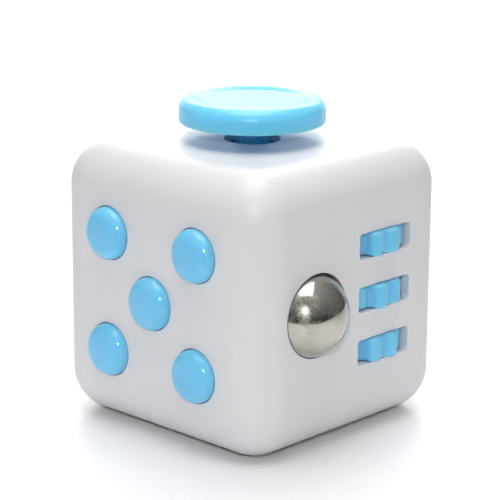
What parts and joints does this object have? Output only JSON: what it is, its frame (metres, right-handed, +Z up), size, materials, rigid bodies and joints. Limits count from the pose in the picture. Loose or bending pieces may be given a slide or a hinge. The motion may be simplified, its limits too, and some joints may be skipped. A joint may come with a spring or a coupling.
{
  "type": "fidget cube",
  "caption": "Palm-sized rounded cube desk toy with push buttons, rolling ball, lobed rollers, tilting thumb stick, rocker switch, spinning dial and a dished rest face.",
  "frame": {"origin": "centre of the cube's bottom face, on the surface it rests on", "axes": "+Z up; -Y the face with the five buttons; +X the face with the ball and rollers; +Z the thumb stick; -X the rocker; +Y the dial; -Z the dished rest plate"},
  "size_m": [0.0392, 0.0363, 0.0379],
  "materials": {
    "body_white": "fine satin moulded ABS",
    "accent_blue": "satin blue ABS",
    "inner_plastic": "matt natural plastic",
    "silicone": "matt translucent silicone",
    "polished_steel": "ground bearing ball, lightly scuffed",
    "spring_steel": "drawn wire",
    "steel_fastener": "nickel-plated"
  },
  "bodies": {
    "shell": {"main_shell": "body_white", "base_cover": "body_white", "button_membrane": "silicone", "button_backplate": "inner_plastic", "backplate_screws": "steel_fastener", "ball_spring": "spring_steel", "ball_retainer": "inner_plastic", "ball_retainer_screws": "steel_fastener", "roller_axle": "steel_fastener", "roller_bracket": "inner_plastic", "bracket_screws": "steel_fastener", "stick_spring": "spring_steel", "stick_retainer": "inner_plastic", "stick_retainer_screws": "steel_fastener", "rocker_pin": "steel_fastener", "rocker_spring": "spring_steel", "rocker_frame": "inner_plastic", "rocker_frame_screws": "steel_fastener"},
    "button_upper_left": {"button_upper_left": "accent_blue"},
    "button_upper_right": {"button_upper_right": "accent_blue"},
    "button_centre": {"button_centre": "accent_blue"},
    "button_lower_left": {"button_lower_left": "accent_blue"},
    "button_lower_right": {"button_lower_right": "accent_blue"},
    "ball_carrier": {"ball_socket": "inner_plastic"},
    "ball": {"steel_ball": "polished_steel"},
    "roller_bottom": {"roller_bottom": "accent_blue"},
    "roller_middle": {"roller_middle": "accent_blue"},
    "roller_top": {"roller_top": "accent_blue"},
    "stick_ring": {"stick_washer": "inner_plastic"},
    "stick": {"thumb_disc": "accent_blue", "stick_dome": "accent_blue", "stick_screw": "steel_fastener"},
    "rocker": {"rocker": "accent_blue"},
    "dial": {"spin_dial": "accent_blue", "dial_washer": "steel_fastener", "dial_screw": "steel_fastener"}
  },
  "joints": [
    {"name": "press_upper_left", "type": "slide", "parent": "shell", "child": "button_upper_left", "axis": [0, 1, 0], "range_m": [0, 0.001], "stiffness_N_per_m": 400, "deforming": ["button_membrane"]},
    {"name": "press_upper_right", "type": "slide", "parent": "shell", "child": "button_upper_right", "axis": [0, 1, 0], "range_m": [0, 0.001], "stiffness_N_per_m": 400, "deforming": ["button_membrane"]},
    {"name": "press_centre", "type": "slide", "parent": "shell", "child": "button_centre", "axis": [0, 1, 0], "range_m": [0, 0.001], "stiffness_N_per_m": 400, "deforming": ["button_membrane"]},
    {"name": "press_lower_left", "type": "slide", "parent": "shell", "child": "button_lower_left", "axis": [0, 1, 0], "range_m": [0, 0.001], "stiffness_N_per_m": 400, "deforming": ["button_membrane"]},
    {"name": "press_lower_right", "type": "slide", "parent": "shell", "child": "button_lower_right", "axis": [0, 1, 0], "range_m": [0, 0.001], "stiffness_N_per_m": 400, "deforming": ["button_membrane"]},
    {"name": "ball_press", "type": "slide", "parent": "shell", "child": "ball_carrier", "axis": [-1, 0, 0], "range_m": [0, 0.0008], "stiffness_N_per_m": 600, "deforming": ["ball_spring"]},
    {"name": "ball_roll", "type": "hinge", "parent": "ball_carrier", "child": "ball", "pos_m": [0.0148, -0.00676, 0.01625], "axis": [0, 0, 1], "continuous": true},
    {"name": "roll_bottom", "type": "hinge", "parent": "shell", "child": "roller_bottom", "pos_m": [0.01235, 0.0049, 0.01018], "axis": [0, 0, 1], "continuous": true},
    {"name": "roll_middle", "type": "hinge", "parent": "shell", "child": "roller_middle", "pos_m": [0.01235, 0.0049, 0.0165], "axis": [0, 0, 1], "continuous": true},
    {"name": "roll_top", "type": "hinge", "parent": "shell", "child": "roller_top", "pos_m": [0.01235, 0.0049, 0.02282], "axis": [0, 0, 1], "continuous": true},
    {"name": "stick_side", "type": "hinge", "parent": "shell", "child": "stick_ring", "pos_m": [0, 0, 0.021], "axis": [0, 1, 0], "range_deg": [-4.6, 4.6], "stiffness_Nm_per_rad": 0.01, "deforming": ["stick_spring"]},
    {"name": "stick_forward", "type": "hinge", "parent": "stick_ring", "child": "stick", "pos_m": [0, 0, 0.021], "axis": [1, 0, 0], "range_deg": [-4.6, 4.6], "stiffness_Nm_per_rad": 0.01, "deforming": ["stick_spring"]},
    {"name": "rocker_flip", "type": "hinge", "parent": "shell", "child": "rocker", "pos_m": [-0.013, 0, 0.0165], "axis": [0, 1, 0], "range_deg": [-18, 0], "deforming": ["rocker_spring"]},
    {"name": "dial_spin", "type": "hinge", "parent": "shell", "child": "dial", "pos_m": [0, 0.0165, 0.0165], "axis": [0, 1, 0], "continuous": true}
  ]
}
